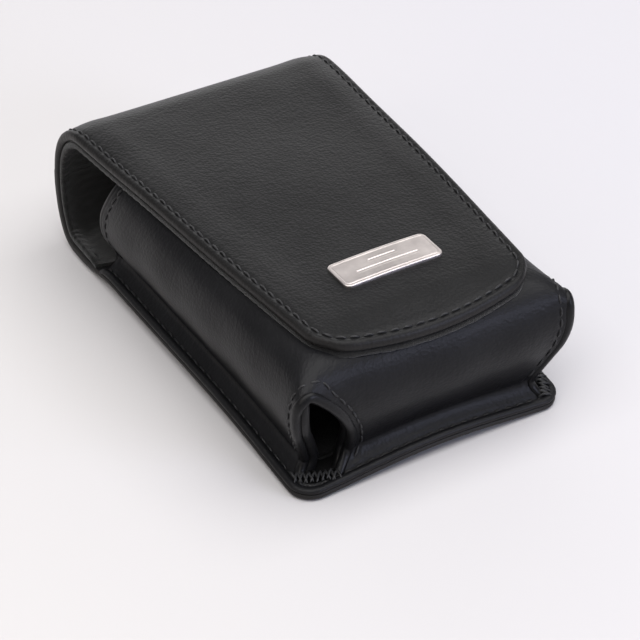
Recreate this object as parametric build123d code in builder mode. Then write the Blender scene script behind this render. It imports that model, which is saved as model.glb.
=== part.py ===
from build123d import *
import os
from math import acos, asin, cos, degrees, radians, sin, sqrt

os.makedirs("parts", exist_ok=True)

# A belt case for a pocket camera, lying on its back: X across, +Y towards the spine, +Z up through the flap.
# ---------------------------------------------------------------- driving sizes (mm)
case_width = 74.0  # across the sewn flange
flange_end = -60.85  # y of the flange's bottom edge
flange_corner = 6.0  # radius of the flange's two bottom corners
margin = 20.0  # how far a cutting shape runs past what it cuts

# thicknesses
panel_leather = 1.5
shell_leather = 1.4
padding = 1.0
suede = 0.8
board = 1.0
strap_leather = 1.4
belt_gap = 1.6  # slack between the belt loop and the back panel

# pocket walls, as a profile that is the same on the left, bottom and right
front_z = 36.6  # top of the front face
pinch_inset = 5.2  # how far the crease at the wall's foot lies inside the flange's edge
pinch_z = 8.5
bulge_out = 0.3  # how far the wall's belly stands out past the flange's edge
bulge_z = 25.0
bulge_radius = 17.0
shoulder_radius = 9.5  # between a wall and the front face

# the front face's board, inside the shoulders and the mouth's facing
board_side_gap = 2.5
board_low_gap = 1.9
board_mouth_gap = 1.0

# mouth, a bowed edge seen from the side
mouth_foot_y = 30.6
mouth_bulge_y = 36.3
mouth_top_y = 31.2
mouth_bulge_z = 21.0
facing_width = 6.0

# keyhole openings at the two bottom corners
keyhole_radius = 7.0
keyhole_foot_half_width = 4.2
keyhole_top_z = 33.0
binding_width = 1.7
binding_proud = 0.4

# spine and its two folds
spine_radius = 29.5  # middle of the spine's thickness
spine_centre_z = 21.0
spine_outer_y = 61.23
fold_radius = 1.2  # half of the spine's thickness
fold_gap = 0.35  # between a round spine end and its neighbour
upper_fold_z = 38.8

# flap
flap_top_z = 40.2
flap_leather_thickness = 1.4
flap_tip_half_width = 29.0
flap_side_end_y = -55.95
flap_tip_y = -59.95
flap_corner = 7.5
hem_width = 5.0
lining_setback = 0.8

# closure and label
closure_y = -43.0
closure_radius = 6.0
closure_play = 0.1
label_length = 26.5
label_width = 9.6
label_corner = 1.6
label_thickness = 0.6
label_y = -36.25
label_rule_length = 9.0
label_rule_width = 0.7
label_rule_depth = 0.15
label_rule_spacing = 2.6
prong_spacing = 18.0
prong_radius = 0.7
retainer_radius = 2.0
retainer_thickness = 0.4

# belt loop
loop_width = 42.0
loop_flat = 58.0  # length that lies on the surface under the case
loop_step = 4.0
loop_tab = 8.0
loop_seam_inset = 1.5  # from the ends of a tab to its two seams
loop_side_inset = 2.0  # from the strap's sides to the first and last stitch

# stitching
stitch_pitch = 3.2
stitch_length = 2.3
thread_width = 0.6
thread_height = 0.3
thread_lift = 0.08  # lets a straight bar of thread clear a hollow in the wall
seam_inset = 2.4
wall_seam_rise = 2.0  # from the wall's crease to the first stitch above it
corner_clear = 12.0  # the flange's rows stop this far from the corner, where the bar tack is
tack_bars = 6
tack_spacing = 1.4
tack_length = 4.4
tack_reach = 6.8  # from the flange's square corner to the middle of the bars

# ---------------------------------------------------------------- worked out from the driving sizes
half_width = case_width / 2
panel_z = strap_leather + belt_gap
panel_top_z = panel_z + panel_leather
foot_top_z = panel_top_z + shell_leather
back_lining_z = panel_top_z + board
back_lining_top_z = back_lining_z + suede
lower_fold_z = (panel_z + back_lining_top_z) / 2
flap_board_top_z = flap_top_z - flap_leather_thickness
flap_board_z = flap_board_top_z - board
flap_lining_z = flap_board_z - suede

lining_inset = shell_leather + padding
pocket_inset = lining_inset + suede
wall_run = pinch_inset + bulge_out
wall_rise = bulge_z - pinch_z
radii_sum = (wall_run**2 + wall_rise**2) / (2 * wall_run)
hollow_radius = radii_sum - bulge_radius
wall_lean = degrees(acos(1 - wall_run / radii_sum))
pocket_half_width = half_width - pinch_inset - pocket_inset
pocket_end_y = flange_end + pinch_inset + pocket_inset

spine_centre_y = spine_outer_y - fold_radius - spine_radius
lower_angle = degrees(asin((lower_fold_z - spine_centre_z) / spine_radius))
upper_angle = degrees(asin((upper_fold_z - spine_centre_z) / spine_radius))
lower_fold_y = spine_centre_y + spine_radius * cos(radians(lower_angle))
upper_fold_y = spine_centre_y + spine_radius * cos(radians(upper_angle))
panel_end_y = lower_fold_y - fold_radius - fold_gap
flap_end_y = upper_fold_y - fold_radius - fold_gap

# The bottom wall is drawn in this plane: local x runs towards -Y, local y is up.
bottom_plane = Plane(origin=(0, 0, 0), x_dir=(0, -1, 0), z_dir=(-1, 0, 0))


# ---------------------------------------------------------------- shared shapes
def draw_wall(edge):
    """The wall's outer line for a flange edge at this distance, up to the front face."""
    foot = Line((edge - pinch_inset, -margin), (edge - pinch_inset, pinch_z))
    hollow = JernArc(foot @ 1, foot % 1, hollow_radius, -wall_lean)
    belly = JernArc(hollow @ 1, hollow % 1, bulge_radius, wall_lean)
    side = Line(belly @ 1, (edge + bulge_out, front_z - shoulder_radius))
    shoulder = JernArc(side @ 1, side % 1, shoulder_radius, 90)
    return foot @ 0, shoulder @ 1


def pocket_block(inset):
    """All that lies deeper than inset under the outer leather, run on past the mouth and the floor."""
    with BuildPart() as block:
        with BuildSketch(Plane.XZ.offset(-mouth_bulge_y - margin)):
            with BuildLine():
                low, high = draw_wall(half_width)
                Polyline(high, (0, front_z), (0, -margin), low)
            make_face()
            mirror(about=Plane.YZ)
            if inset:
                offset(amount=-inset)
        extrude(amount=mouth_bulge_y - flange_end + 2 * margin)
        with BuildSketch(bottom_plane):
            with BuildLine():
                low, high = draw_wall(-flange_end)
                past_mouth = -mouth_bulge_y - 2 * margin
                Polyline(high, (past_mouth, front_z), (past_mouth, -margin), low)
            make_face()
            if inset:
                offset(amount=-inset)
        extrude(amount=case_width, both=True, mode=Mode.INTERSECT)
    return block.part


def mouth_arc(setback):
    """The mouth's edge seen from the side, moved back towards the bottom by setback."""
    return ThreePointArc(
        (mouth_foot_y - setback, panel_top_z),
        (mouth_bulge_y - setback, mouth_bulge_z),
        (mouth_top_y - setback, front_z + margin / 2),
    )


def beyond_mouth(setback):
    """Everything on the spine's side of the mouth's edge."""
    with BuildPart() as beyond:
        with BuildSketch(Plane.YZ):
            with BuildLine():
                edge = mouth_arc(setback)
                far_y = mouth_bulge_y + 2 * margin
                far_side = [(far_y, front_z + margin / 2), (far_y, -margin)]
                Polyline(edge @ 1, *far_side, (mouth_foot_y - setback, -margin), edge @ 0)
            make_face()
        extrude(amount=case_width, both=True)
    return beyond.part


def keyhole_plane(side):
    """A plane inside the pocket that looks out along a bottom corner's diagonal (side -1 left, 1 right)."""
    reach = margin / sqrt(2)
    x = side * (half_width + bulge_out - reach)
    y = flange_end - bulge_out + reach
    return Plane(origin=(x, y, 0), x_dir=(1, side, 0), z_dir=(side, -1, 0))


def keyhole_block(side, shrink):
    """A keyhole shape that runs out through a bottom corner, narrower all round by shrink."""
    arch_z = keyhole_top_z - keyhole_radius
    arch_reach = keyhole_radius - shrink
    foot_reach = keyhole_foot_half_width - shrink
    with BuildPart() as arch:
        with BuildSketch(keyhole_plane(side)):
            with Locations((0, arch_z)):
                Circle(arch_reach)
            with BuildLine():
                right_side = [(arch_reach, arch_z), (foot_reach, foot_top_z)]
                left_side = [(-foot_reach, foot_top_z), (-arch_reach, arch_z)]
                Polyline(*right_side, *left_side, close=True)
            make_face()
        extrude(amount=2 * margin)
    return arch.part


def plan_rectangle(half_x, low_y, high_y, mode=Mode.ADD):
    """A rectangle in the open sketch, centred across and between two y values."""
    with Locations((0, (low_y + high_y) / 2)):
        Rectangle(2 * half_x, high_y - low_y, mode=mode)


def flange_plan(end_y, inset=0):
    """The flange's outline with its two rounded bottom corners, up to end_y."""
    with BuildSketch(mode=Mode.PRIVATE) as plan:
        plan_rectangle(half_width - inset, flange_end + inset, end_y)
        fillet(plan.vertices().group_by(Axis.Y)[0], radius=flange_corner)
    add(plan.sketch)


def flap_plan(inset):
    """The flap's outline, tapering to a bowed tip with round corners, drawn in by inset."""
    with BuildSketch(mode=Mode.PRIVATE) as plan:
        with BuildLine():
            corners = [(side * flap_tip_half_width, flap_side_end_y) for side in (-1, 1)]
            tip = ThreePointArc(corners[0], (0, flap_tip_y), corners[1])
            Polyline(tip @ 1, (half_width, flap_end_y), (-half_width, flap_end_y), tip @ 0)
        make_face()
        if inset:
            offset(amount=-inset, kind=Kind.INTERSECTION)
        fillet(plan.vertices().group_by(Axis.Y)[0], radius=flap_corner - inset)
    add(plan.sketch)


def stitches(places):
    """One short bar of thread on each plane: x runs along the seam, z out of the leather."""
    with BuildSketch(*places) as bars:
        SlotOverall(stitch_length, thread_width)
    extrude(bars.sketch, amount=thread_height)


def straight_seam(start, end, normal):
    """Planes at the stitch pitch along a straight seam."""
    start = Vector(*start)
    run = Vector(*end) - start
    count = max(1, round(run.length / stitch_pitch))
    return [Plane(origin=start + run * ((i + 0.5) / count), x_dir=run, z_dir=normal) for i in range(count)]


def wall_point(z):
    """How far the wall's outer face lies inside the flange's edge at this height, and its outward slope."""
    hollow_top = pinch_z + hollow_radius * sin(radians(wall_lean))
    if z < hollow_top:
        turn = asin((z - pinch_z) / hollow_radius)
        return pinch_inset - hollow_radius * (1 - cos(turn)), turn
    turn = asin((bulge_z - z) / bulge_radius)
    return bulge_radius * (1 - cos(turn)) - bulge_out, turn


# ---------------------------------------------------------------- cutting shapes used by several pieces
outside = pocket_block(0)
under_leather = pocket_block(shell_leather)
under_padding = pocket_block(lining_inset)
pocket_space = pocket_block(pocket_inset)
past_mouth_block = beyond_mouth(0)
past_facing_block = beyond_mouth(facing_width)
keyholes = [keyhole_block(side, 0) for side in (-1, 1)]
with BuildPart() as below_panel_top:
    with BuildSketch(Plane.XY.offset(panel_top_z)):
        Rectangle(2 * case_width, 4 * case_width)
    extrude(amount=-2 * margin)


def wall_layer(outer, inner, mouth):
    """Between two pocket blocks: two walls, the bottom wall and the front face, with the keyholes cut out."""
    add(outer)
    for cutter in (inner, mouth, below_panel_top.part, *keyholes):
        add(cutter, mode=Mode.SUBTRACT)


# ---------------------------------------------------------------- pouch: back
back_play = 0.6  # leaves room for the corner bindings' feet
board_half_width = pocket_half_width - back_play
board_low_y = pocket_end_y + back_play

with BuildPart() as back_panel:
    with BuildSketch(Plane.XY.offset(panel_z)):
        flange_plan(panel_end_y)
    extrude(amount=panel_leather)

with BuildPart() as back_board:
    with BuildSketch(Plane.XY.offset(panel_top_z)):
        plan_rectangle(board_half_width, board_low_y, panel_end_y)
    extrude(amount=board)

with BuildPart() as back_lining:
    with BuildSketch(Plane.XY.offset(back_lining_z)):
        plan_rectangle(board_half_width, board_low_y, panel_end_y)
    extrude(amount=suede)

# ---------------------------------------------------------------- pouch: front face and walls
front_board_half_width = half_width - shoulder_radius - board_side_gap
front_board_low_y = flange_end + shoulder_radius + board_low_gap
front_board_high_y = mouth_top_y - facing_width - board_mouth_gap
front_board_z = front_z - lining_inset

with BuildPart() as pouch_shell:
    wall_layer(outside, under_leather, past_mouth_block)
    with BuildSketch(Plane.XY.offset(panel_top_z)):
        flange_plan(mouth_foot_y)
        inside_foot = pinch_inset + shell_leather
        plan_rectangle(half_width - inside_foot, flange_end + inside_foot, case_width, mode=Mode.SUBTRACT)
    extrude(amount=shell_leather)

with BuildPart() as pouch_padding:
    wall_layer(under_leather, under_padding, past_facing_block)
    with BuildSketch(Plane.XY.offset(front_board_z)):
        plan_rectangle(front_board_half_width, front_board_low_y, front_board_high_y)
    extrude(amount=padding, mode=Mode.SUBTRACT)

with BuildPart() as front_board:
    with BuildSketch(Plane.XY.offset(front_board_z)):
        plan_rectangle(front_board_half_width, front_board_low_y, front_board_high_y)
        with Locations((0, closure_y)):
            Circle(closure_radius + closure_play, mode=Mode.SUBTRACT)
    extrude(amount=board)

with BuildPart() as keeper_disc:
    with BuildSketch(Plane.XY.offset(front_board_z)):
        with Locations((0, closure_y)):
            Circle(closure_radius)
    extrude(amount=board)

with BuildPart() as pouch_lining:
    wall_layer(under_padding, pocket_space, past_facing_block)

with BuildPart() as mouth_facing:
    wall_layer(under_leather, pocket_space, past_mouth_block)
    add(past_facing_block, mode=Mode.INTERSECT)

proud_block = pocket_block(-binding_proud)
binding_inner = pocket_block(pocket_inset + binding_proud)


def keyhole_binding(side):
    """The turned strip round one corner opening: an arch through every layer of the walls."""
    with BuildPart() as binding:
        add(keyhole_block(side, 0))
        add(keyhole_block(side, binding_width), mode=Mode.SUBTRACT)
        add(proud_block, mode=Mode.INTERSECT)
        add(binding_inner, mode=Mode.SUBTRACT)
    return binding


keyhole_binding_left = keyhole_binding(-1)
keyhole_binding_right = keyhole_binding(1)

# ---------------------------------------------------------------- pouch: belt loop under the back panel
with BuildPart() as belt_loop:
    with BuildSketch(Plane.YZ.offset(-loop_width / 2)):
        flat_end = loop_flat / 2
        tab_start = flat_end + loop_step
        tab_end = tab_start + loop_tab
        tab_z = panel_z - strap_leather
        side = [(flat_end, 0), (tab_start, tab_z), (tab_end, tab_z), (tab_end, panel_z)]
        side += [(tab_start, panel_z), (flat_end, strap_leather)]
        with BuildLine():
            Polyline(*side, *[(-y, z) for y, z in reversed(side)], close=True)
        make_face()
    extrude(amount=loop_width)

# ---------------------------------------------------------------- pouch: threads
seam_x = half_width - seam_inset
seam_y = flange_end + seam_inset
top = (0, 0, 1)
under = (0, 0, -1)


def flange_rows(z, normal):
    """Stitch places along the flange's left, bottom and right sides."""
    places = []
    for x in (-seam_x, seam_x):
        places += straight_seam((x, mouth_foot_y, z), (x, flange_end + corner_clear, z), normal)
    reach = half_width - corner_clear
    return places + straight_seam((-reach, seam_y, z), (reach, seam_y, z), normal)


with BuildPart() as flange_thread:
    stitches(flange_rows(foot_top_z, top) + flange_rows(panel_z, under))


def wall_rows(side, place_on_wall):
    """Stitch places up a wall, from above the crease to below the shoulder."""
    low, high = pinch_z + wall_seam_rise, front_z - shoulder_radius
    count = round((high - low) / stitch_pitch)
    return [place_on_wall(side, low + (high - low) * (i + 0.5) / count) for i in range(count)]


def on_side_wall(side, z, y):
    """A plane just off a side wall's outer face, with x up the wall."""
    inside, slope = wall_point(z) if z < bulge_z else (-bulge_out, 0)
    origin = (side * (half_width - inside + thread_lift), y, z)
    up_the_wall = (side * sin(slope), 0, cos(slope))
    return Plane(origin=origin, x_dir=up_the_wall, z_dir=(side * cos(slope), 0, -sin(slope)))


def on_bottom_wall(x, z):
    """A plane just off the bottom wall's outer face, with x up the wall."""
    inside, slope = wall_point(z) if z < bulge_z else (-bulge_out, 0)
    origin = (x, flange_end + inside - thread_lift, z)
    return Plane(origin=origin, x_dir=(0, -sin(slope), cos(slope)), z_dir=(0, -cos(slope), -sin(slope)))


def mouth_place(side, z):
    """On a side wall, a seam's inset from the mouth's bowed edge."""
    rise = (z - mouth_bulge_z) / (front_z - mouth_bulge_z)
    y = mouth_bulge_y - (mouth_bulge_y - mouth_top_y) * rise**2 - seam_inset
    return on_side_wall(side, z, y)


with BuildPart() as mouth_thread:
    stitches([place for side in (-1, 1) for place in wall_rows(side, mouth_place)])

keyhole_reach = (keyhole_radius + seam_inset) * sqrt(2)


def keyhole_thread(side):
    """Two rows up the walls, one each side of a corner opening."""
    side_y = flange_end - bulge_out + keyhole_reach
    bottom_x = side * (half_width + bulge_out - keyhole_reach)
    side_row = wall_rows(side, lambda s, z: on_side_wall(s, z, side_y))
    bottom_row = wall_rows(side, lambda s, z: on_bottom_wall(bottom_x, z))
    with BuildPart() as thread:
        stitches(side_row + bottom_row)
    return thread


keyhole_thread_left = keyhole_thread(-1)
keyhole_thread_right = keyhole_thread(1)


def bar_tack(side):
    """Parallel bars of thread that tie the corner opening's foot to the flange."""
    along = tack_reach / sqrt(2)
    centre = (side * (half_width - along), flange_end + along, foot_top_z)
    with BuildPart() as tack:
        with BuildSketch(Plane(origin=centre, x_dir=(side, -1, 0), z_dir=top)):
            with GridLocations(0, tack_spacing, 1, tack_bars):
                SlotOverall(tack_length, thread_width)
        extrude(amount=thread_height)
    return tack


bar_tack_left = bar_tack(-1)
bar_tack_right = bar_tack(1)

with BuildPart() as belt_loop_thread:
    row_reach = loop_width / 2 - loop_side_inset
    row_ys = (tab_start + loop_seam_inset, tab_end - loop_seam_inset)
    tab_rows = []
    for y in (*row_ys, *(-y for y in row_ys)):
        tab_rows += straight_seam((-row_reach, y, tab_z), (row_reach, y, tab_z), under)
    stitches(tab_rows)

# ---------------------------------------------------------------- spine
spine_sweep = upper_angle - lower_angle
spine_lining_radius = spine_radius - fold_radius + suede / 2
lining_trim = 4.0  # degrees left bare at each fold

with BuildPart() as spine_lining:
    with BuildSketch(Plane.YZ.offset(-half_width)):
        with BuildLine() as lining_path:
            CenterArc(
                (spine_centre_y, spine_centre_z),
                spine_lining_radius,
                lower_angle + lining_trim,
                spine_sweep - 2 * lining_trim,
            )
        SlotArc(lining_path.edges()[0], suede)
    extrude(amount=case_width)

with BuildPart() as spine_leather:
    with BuildSketch(Plane.YZ.offset(-half_width)):
        with BuildLine() as spine_path:
            CenterArc((spine_centre_y, spine_centre_z), spine_radius, lower_angle, spine_sweep)
        SlotArc(spine_path.edges()[0], 2 * fold_radius)
    extrude(amount=case_width)
    add(spine_lining.part, mode=Mode.SUBTRACT)

with BuildPart() as spine_edge_thread:
    outer_radius = spine_radius + fold_radius
    seam_run = radians(spine_sweep - 2 * lining_trim) * outer_radius
    spine_count = round(seam_run / stitch_pitch)
    spine_places = []
    for x in (-seam_x, seam_x):
        for i in range(spine_count):
            share = (i + 0.5) / spine_count
            angle = radians(lower_angle + lining_trim + (spine_sweep - 2 * lining_trim) * share)
            outward = Vector(0, cos(angle), sin(angle))
            origin = Vector(x, spine_centre_y, spine_centre_z) + outward * outer_radius
            spine_places.append(Plane(origin=origin, x_dir=(0, -sin(angle), cos(angle)), z_dir=outward))
    stitches(spine_places)

# ---------------------------------------------------------------- flap
prongs = [(-prong_spacing / 2, label_y), (prong_spacing / 2, label_y)]

with BuildPart() as flap_leather:
    with BuildSketch(Plane.XY.offset(flap_board_z)):
        flap_plan(0)
    extrude(amount=flap_top_z - flap_board_z)
    with BuildSketch(Plane.XY.offset(flap_board_z)):
        flap_plan(hem_width)
    extrude(amount=board, mode=Mode.SUBTRACT)
    with BuildSketch(Plane.XY.offset(flap_board_z)):
        with Locations(*prongs):
            Circle(prong_radius)
    extrude(amount=flap_top_z - flap_board_z, mode=Mode.SUBTRACT)

with BuildPart() as flap_board:
    with BuildSketch(Plane.XY.offset(flap_board_z)):
        flap_plan(hem_width)
        with Locations(*prongs):
            Circle(retainer_radius + closure_play, mode=Mode.SUBTRACT)
        with Locations((0, closure_y)):
            Circle(closure_radius + closure_play, mode=Mode.SUBTRACT)
    extrude(amount=board)

with BuildPart() as flap_lining:
    with BuildSketch(Plane.XY.offset(flap_lining_z)):
        flap_plan(lining_setback)
    extrude(amount=suede)

with BuildPart() as flap_magnet:
    with BuildSketch(Plane.XY.offset(flap_board_z)):
        with Locations((0, closure_y)):
            Circle(closure_radius)
    extrude(amount=board)

with BuildPart() as label_plate:
    with BuildSketch(Plane.XY.offset(flap_top_z)):
        with Locations((0, label_y)):
            RectangleRounded(label_length, label_width, label_corner)
    extrude(amount=label_thickness)
    chamfer(label_plate.faces().sort_by(Axis.Z)[-1].edges(), length=label_rule_depth)
    with BuildSketch(Plane.XY.offset(flap_top_z + label_thickness)):
        with Locations((0, label_y - label_rule_spacing / 2), (0, label_y + label_rule_spacing / 2)):
            Rectangle(label_rule_length, label_rule_width)
    extrude(amount=-label_rule_depth, mode=Mode.SUBTRACT)
    with BuildSketch(Plane.XY.offset(flap_board_z + closure_play)):
        with Locations(*prongs):
            Circle(prong_radius)
    extrude(amount=flap_top_z - flap_board_z - closure_play)

with BuildPart() as label_retainers:
    with BuildSketch(Plane.XY.offset(flap_board_top_z - retainer_thickness)):
        with Locations(*prongs):
            Circle(retainer_radius)
            Circle(prong_radius, mode=Mode.SUBTRACT)
    extrude(amount=retainer_thickness)


def flap_rows():
    """Stitch places a seam's inset from the flap's two sides and tip."""
    with BuildSketch(mode=Mode.PRIVATE) as plan:
        flap_plan(seam_inset)
    seam_edges = [edge for edge in plan.edges() if edge.center().Y < flap_end_y - hem_width]
    places = []
    for edge in seam_edges:
        count = max(1, round(edge.length / stitch_pitch))
        for i in range(count):
            at = (i + 0.5) / count
            point = edge.position_at(at)
            places.append(Plane(origin=(point.X, point.Y, flap_top_z), x_dir=edge.tangent_at(at), z_dir=top))
    return places


with BuildPart() as flap_edge_thread:
    stitches(flap_rows())

# ---------------------------------------------------------------- write one STEP for each piece
pieces = {
    "back_panel": back_panel,
    "back_board": back_board,
    "back_lining": back_lining,
    "pouch_shell": pouch_shell,
    "pouch_padding": pouch_padding,
    "pouch_lining": pouch_lining,
    "front_board": front_board,
    "keeper_disc": keeper_disc,
    "mouth_facing": mouth_facing,
    "keyhole_binding_left": keyhole_binding_left,
    "keyhole_binding_right": keyhole_binding_right,
    "belt_loop": belt_loop,
    "flange_thread": flange_thread,
    "mouth_thread": mouth_thread,
    "keyhole_thread_left": keyhole_thread_left,
    "keyhole_thread_right": keyhole_thread_right,
    "bar_tack_left": bar_tack_left,
    "bar_tack_right": bar_tack_right,
    "belt_loop_thread": belt_loop_thread,
    "spine_leather": spine_leather,
    "spine_lining": spine_lining,
    "spine_edge_thread": spine_edge_thread,
    "flap_leather": flap_leather,
    "flap_board": flap_board,
    "flap_lining": flap_lining,
    "flap_magnet": flap_magnet,
    "label_plate": label_plate,
    "label_retainers": label_retainers,
    "flap_edge_thread": flap_edge_thread,
}
for piece_name, piece in pieces.items():
    piece.part.label = piece_name
    export_step(piece.part, f"parts/{piece_name}.step")

print("lower fold y, z:", round(lower_fold_y, 3), round(lower_fold_z, 3))
print("upper fold y, z:", round(upper_fold_y, 3), round(upper_fold_z, 3))
print("pocket half width, end y:", round(pocket_half_width, 3), round(pocket_end_y, 3))
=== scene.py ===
import math

import bmesh
import bpy
import numpy as np
from mathutils import Matrix, Vector


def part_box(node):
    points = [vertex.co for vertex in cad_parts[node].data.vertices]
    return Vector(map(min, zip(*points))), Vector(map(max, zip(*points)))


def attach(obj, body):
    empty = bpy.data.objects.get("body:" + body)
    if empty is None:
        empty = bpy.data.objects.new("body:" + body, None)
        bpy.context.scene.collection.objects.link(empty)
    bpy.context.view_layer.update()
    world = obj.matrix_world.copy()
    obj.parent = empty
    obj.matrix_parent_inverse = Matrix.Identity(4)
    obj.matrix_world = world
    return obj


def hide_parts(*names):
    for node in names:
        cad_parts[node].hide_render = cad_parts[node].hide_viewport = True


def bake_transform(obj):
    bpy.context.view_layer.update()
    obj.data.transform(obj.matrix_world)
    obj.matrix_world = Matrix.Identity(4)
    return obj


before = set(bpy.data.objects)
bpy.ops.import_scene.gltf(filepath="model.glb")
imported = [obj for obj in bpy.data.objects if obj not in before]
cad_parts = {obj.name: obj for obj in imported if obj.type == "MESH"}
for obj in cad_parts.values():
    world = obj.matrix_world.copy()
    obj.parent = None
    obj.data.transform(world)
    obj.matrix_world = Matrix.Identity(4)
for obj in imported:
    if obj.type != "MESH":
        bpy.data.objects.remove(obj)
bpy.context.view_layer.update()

# Every size below is in millimetres in the CAD frame; MM turns it into Blender's metres.
MM = 0.001

# ------------------------ places and sizes
panel_low, panel_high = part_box("back_panel")
flange_end = panel_low.y / MM
half_width = panel_high.x / MM
panel_z = panel_low.z / MM
flap_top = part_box("flap_leather")[1].z / MM
plate_low, plate_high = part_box("label_plate")
loop_low, loop_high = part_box("belt_loop")

sheet_thickness = 1.5
flap_thickness = 2.5
lining_thickness = 0.9
lining_hem = 1.1
lining_inset = 0.3
layer_gap = 0.06
edge_roll = 1.05
lower_lining_start = 9.5
pocket_lining_half = 27.75
mouth_foot_y = 38.7
shell_thickness = 1.4
suede_depths = (0.05, 0.95)
flange_corner = 6.0
flap_corner = 7.5
flap_tip_half_width = 29.0
flap_tip_y = -59.95
flap_tip_bow = 4.0
flap_tip_droop = 2.0
flap_side_bow = 0.4
flap_taper_run = 107.3
mid_spine_z = 21.5
back_fold_y = 50.0
stitch_pitch = 3.2
stitch_gap = 0.75
thread_radius = 0.3
flap_seam = 2.0
flange_seam = 2.4
mouth_seam = 2.6

# Distances from an edge at which a sheet has a line of vertices: close together over the roll and the seam.
EDGE_STEPS = (0, 0.1, 0.35, 0.7, 1.1, 1.5, 1.9, 2.3, 2.7, 3.2, 4.0, 5.4, 7.5)

SIDES = ((-1, "left"), (1, "right"))


# ------------------------ curves
def run_along(points):
    """The distance along a polyline to each of its points."""
    return np.concatenate([[0], np.cumsum(np.linalg.norm(np.diff(points, axis=0), axis=1))])


def sampled(at, run, rows):
    """Rows of numbers known at each run, interpolated at other distances."""
    return np.stack([np.interp(at, run, rows[:, k]) for k in range(rows.shape[1])], axis=-1)


def resample(points, step):
    """The same polyline with evenly spaced points."""
    points = np.asarray(points, float)
    run = run_along(points)
    count = max(2, int(round(run[-1] / step)) + 1)
    return sampled(np.linspace(0, run[-1], count), run, points)


def smooth_curve(points, step):
    """A smooth curve through the points, as evenly spaced points."""
    points = np.asarray(points, float)
    padded = np.vstack([2 * points[0] - points[1], points, 2 * points[-1] - points[-2]])
    t = np.linspace(0, 1, 24, endpoint=False)[:, None]
    spans = []
    for a, b, c, d in zip(padded, padded[1:], padded[2:], padded[3:]):
        square, cube = 2 * a - 5 * b + 4 * c - d, 3 * b - a - 3 * c + d
        spans.append(0.5 * (2 * b + (c - a) * t + square * t**2 + cube * t**3))
    return resample(np.vstack(spans + [points[-1:]]), step)


def smoothstep(x):
    """0 below 0, 1 above 1, and a smooth rise between."""
    x = np.clip(x, 0, 1)
    return x * x * (3 - 2 * x)


def hump(x, width):
    """1 where x is 0, falling smoothly to almost 0 at twice the width."""
    return np.exp(-((x / width) ** 2))


def averaged(rows, passes):
    """A list of vectors smoothed along its length, with the ends kept."""
    rows = np.array(rows, float)
    for _ in range(passes):
        rows[1:-1] = (rows[:-2] + 2 * rows[1:-1] + rows[2:]) / 4
    return rows


def unit(vectors):
    """Vectors scaled to length 1."""
    return vectors / np.maximum(np.linalg.norm(vectors, axis=-1, keepdims=True), 1e-9)


def outward(place, x, run):
    """Unit normals of the face that place gives for x, run and height."""
    return unit(place(x, run, 1.0) - place(x, run, 0.0))


def beside_path(path, tangent, path_run, run, x, height):
    """The point at a run along a path of (y, z), x across it and height out on its left."""
    y, z = (np.interp(run, path_run, path[:, k]) for k in range(2))
    ty, tz = (np.interp(run, path_run, tangent[:, k]) for k in range(2))
    return np.stack([x, y - tz * height, z + ty * height], axis=-1)


def uv_grid(along, around):
    """UV for a grid, from the distances along its rows and around its columns."""
    return np.stack(np.broadcast_arrays(along[:, None], around[None, :]), axis=2)


def edge_wear(edge, most):
    """Wear that fades within about a millimetre of an edge."""
    return np.exp(-edge / 0.5) * most


# ------------------------ how the worn case has settled
spine_sink = 2.2


def settle(points):
    """The flange's two bottom corners droop to the table, and the right one is pushed in a little."""
    points = np.array(points, float)
    x, y, z = points[..., 0], points[..., 1], points[..., 2]
    low_part = 1 - smoothstep((z - 5.5) / 12)
    for side, drop, push in ((-1, 2.75, 0.0), (1, 2.85, 0.6)):
        away = np.hypot(x - side * half_width, y - flange_end)
        near = hump(away, 24)
        points[..., 2] -= drop * near * low_part
        points[..., 0] -= side * push * hump(away, 13) * low_part
    beside_loop = smoothstep((np.abs(x) - 22) / 12)
    points[..., 2] -= spine_sink * smoothstep((y - 32) / 16) * low_part * beside_loop
    return points


# ------------------------ meshes
def tube_faces(rings, sides, start=0):
    """Faces of a closed tube whose vertices are stored ring by ring, with a cap at each end."""
    faces = []
    for a in range(start, start + (rings - 1) * sides, sides):
        for j in range(sides):
            k = (j + 1) % sides
            faces.append((a + j, a + k, a + sides + k, a + sides + j))
    last = start + (rings - 1) * sides
    return faces + [tuple(range(start, start + sides)), tuple(range(last, last + sides))[::-1]]


def finish_mesh(name, points, faces, uv=None, wear=None, crease_angle=50):
    """A mesh object from points in millimetres; uv, also in millimetres, is stored in tenths of a metre."""
    mesh = bpy.data.meshes.new(name)
    mesh.from_pydata((np.asarray(points, float) * MM).tolist(), [], [tuple(int(i) for i in f) for f in faces])
    if uv is not None:
        layer = mesh.uv_layers.new(name="Leather")
        loops = np.zeros(len(mesh.loops), int)
        mesh.loops.foreach_get("vertex_index", loops)
        layer.data.foreach_set("uv", (np.asarray(uv, float)[loops] * MM * 10).astype(np.float32).ravel())
    if wear is not None:
        attribute = mesh.attributes.new("wear", "FLOAT", "POINT")
        attribute.data.foreach_set("value", np.asarray(wear, np.float32))
    bm = bmesh.new()
    bm.from_mesh(mesh)
    bmesh.ops.remove_doubles(bm, verts=bm.verts, dist=2e-6)
    bmesh.ops.dissolve_degenerate(bm, edges=bm.edges, dist=1e-7)
    bmesh.ops.recalc_face_normals(bm, faces=bm.faces)
    limit = math.radians(crease_angle)
    for face in bm.faces:
        face.smooth = True
    for edge in bm.edges:
        edge.smooth = not (len(edge.link_faces) == 2 and edge.calc_face_angle(0) > limit)
    bm.to_mesh(mesh)
    bm.free()
    obj = bpy.data.objects.new(name, mesh)
    bpy.context.scene.collection.objects.link(obj)
    return obj


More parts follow.
